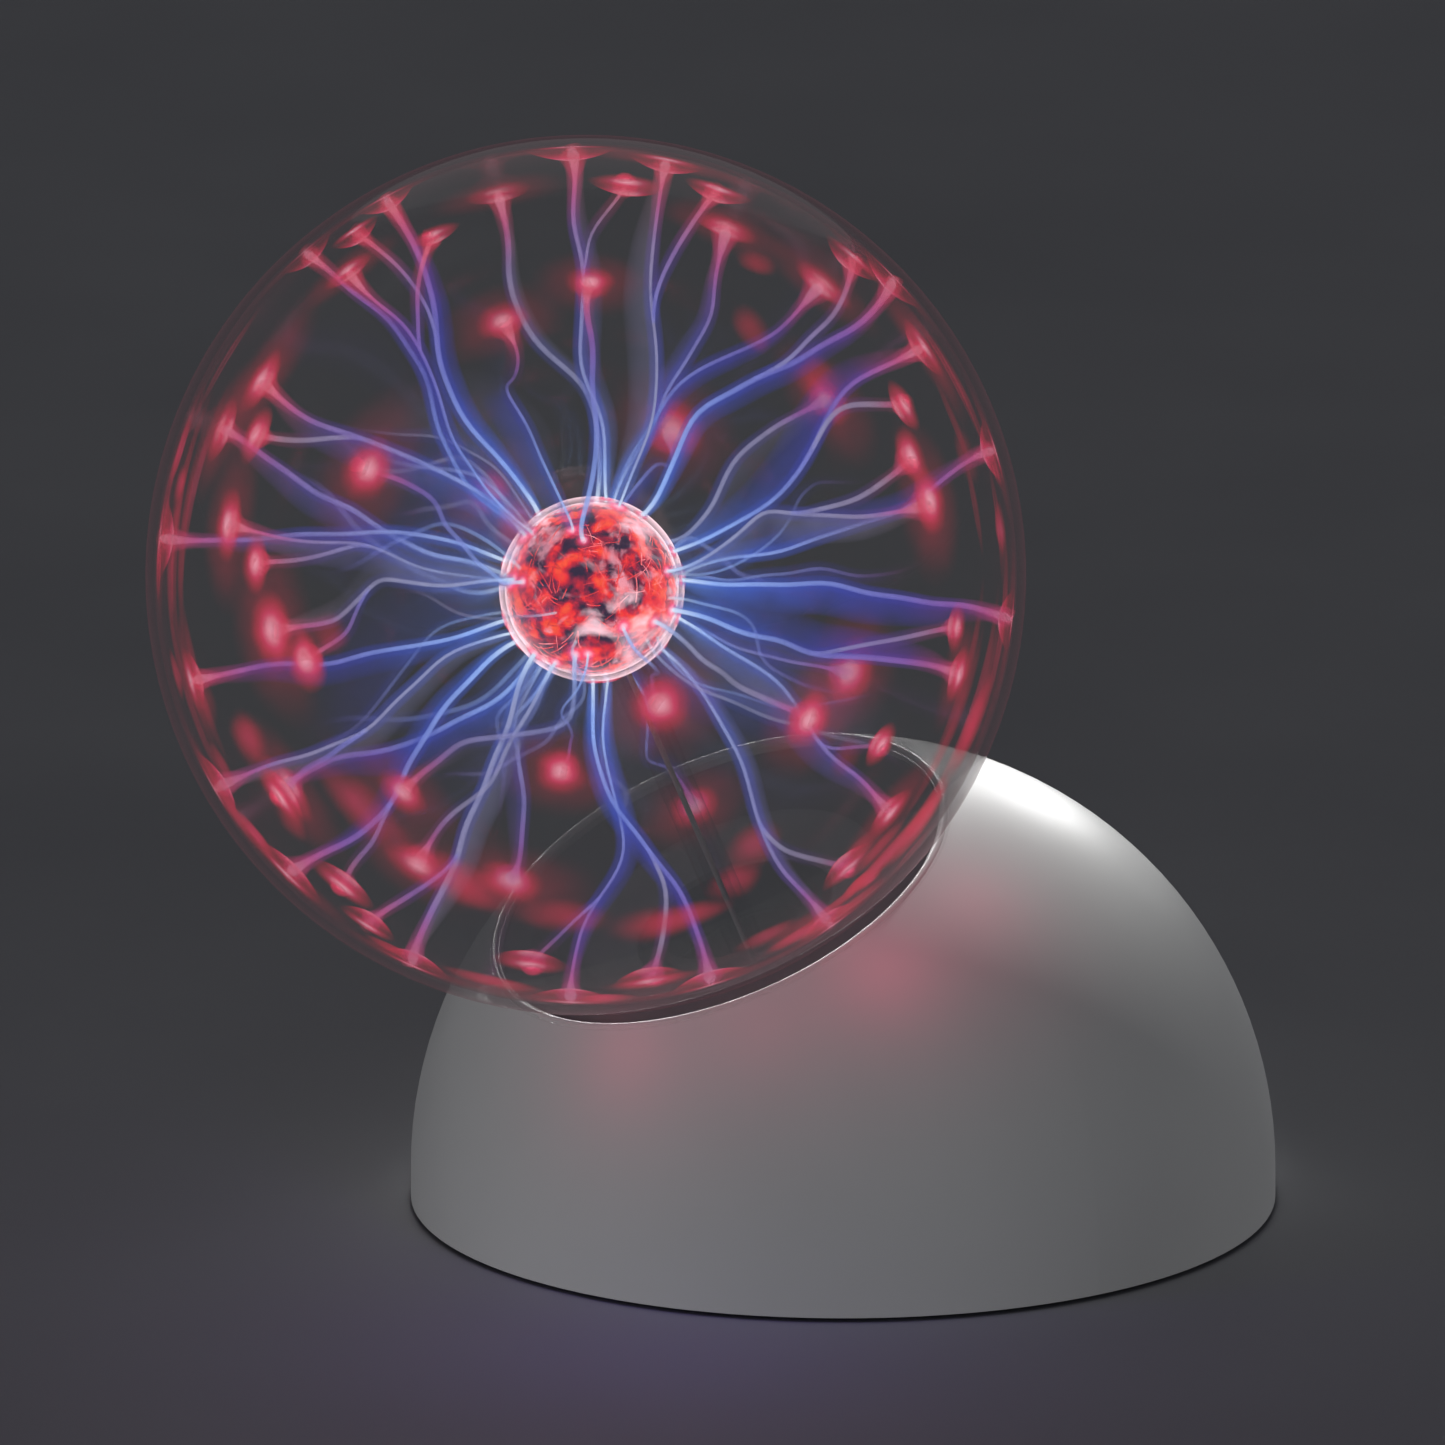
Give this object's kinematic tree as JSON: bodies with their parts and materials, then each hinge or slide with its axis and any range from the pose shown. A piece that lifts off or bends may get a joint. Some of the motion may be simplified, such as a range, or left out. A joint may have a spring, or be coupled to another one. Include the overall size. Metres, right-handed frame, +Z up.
{
  "type": "plasma ball",
  "caption": "Glass plasma globe leaning out of a white domed base, with a glowing electrode at its centre and a slide switch and power socket at the rear.",
  "frame": {"origin": "centre of the domed base, on the table under its rubber foot ring", "axes": "+Z up; the globe leans towards -Y (the front); the switch and the power socket face +Y; +X is to the right seen from the front"},
  "size_m": [0.152, 0.206, 0.1979],
  "materials": {
    "shell_plastic": "satin",
    "plate_plastic": "matte",
    "black_rubber": "matte",
    "globe_glass": "gloss",
    "stem_glass": "gloss",
    "electrode_glass": "gloss",
    "steel_wool": "matte",
    "steel": "satin",
    "cap_plastic": "satin",
    "red_silicone": "satin",
    "board_laminate": "satin",
    "ferrite": "matte",
    "coil_resin": "satin",
    "copper_wire": "satin",
    "black_epoxy": "matte",
    "aluminium": "satin",
    "blue_sleeve": "gloss",
    "red_epoxy": "satin",
    "tan_lacquer": "satin",
    "header_nylon": "satin",
    "switch_black": "satin",
    "socket_black": "satin",
    "wire_sleeve": "satin"
  },
  "bodies": {
    "base": {"dome_shell": "shell_plastic", "base_plate": "plate_plastic", "foot_ring": "black_rubber", "base_screws": "steel", "globe_glass": "globe_glass", "glass_stem": "stem_glass", "electrode_bulb": "electrode_glass", "electrode_wool": "steel_wool", "electrode_lead": "steel", "globe_gasket": "black_rubber", "globe_collar": "plate_plastic", "collar_screws": "steel", "neck_bushing": "black_rubber", "neck_cap": "cap_plastic", "high_voltage_lead": "red_silicone", "driver_board": "board_laminate", "board_screws": "steel", "flyback_core": "ferrite", "high_voltage_coil": "coil_resin", "primary_coil": "copper_wire", "power_transistor": "black_epoxy", "heatsink": "aluminium", "transistor_screw": "steel", "filter_capacitors": "blue_sleeve", "film_capacitor": "red_epoxy", "resistors": "tan_lacquer", "oscillator_chip": "black_epoxy", "wire_headers": "header_nylon", "microphone": "aluminium", "switch_body": "steel", "switch_screws": "steel", "power_socket": "socket_black", "socket_pin": "steel", "socket_nut": "steel", "supply_wires": "wire_sleeve", "switch_wires": "wire_sleeve", "microphone_wires": "wire_sleeve"},
    "slider": {"switch_slider": "switch_black"}
  },
  "joints": [
    {"name": "switch_slide", "type": "slide", "parent": "base", "child": "slider", "axis": [1, 0, 0], "range_m": [-0.003, 0.003]}
  ]
}
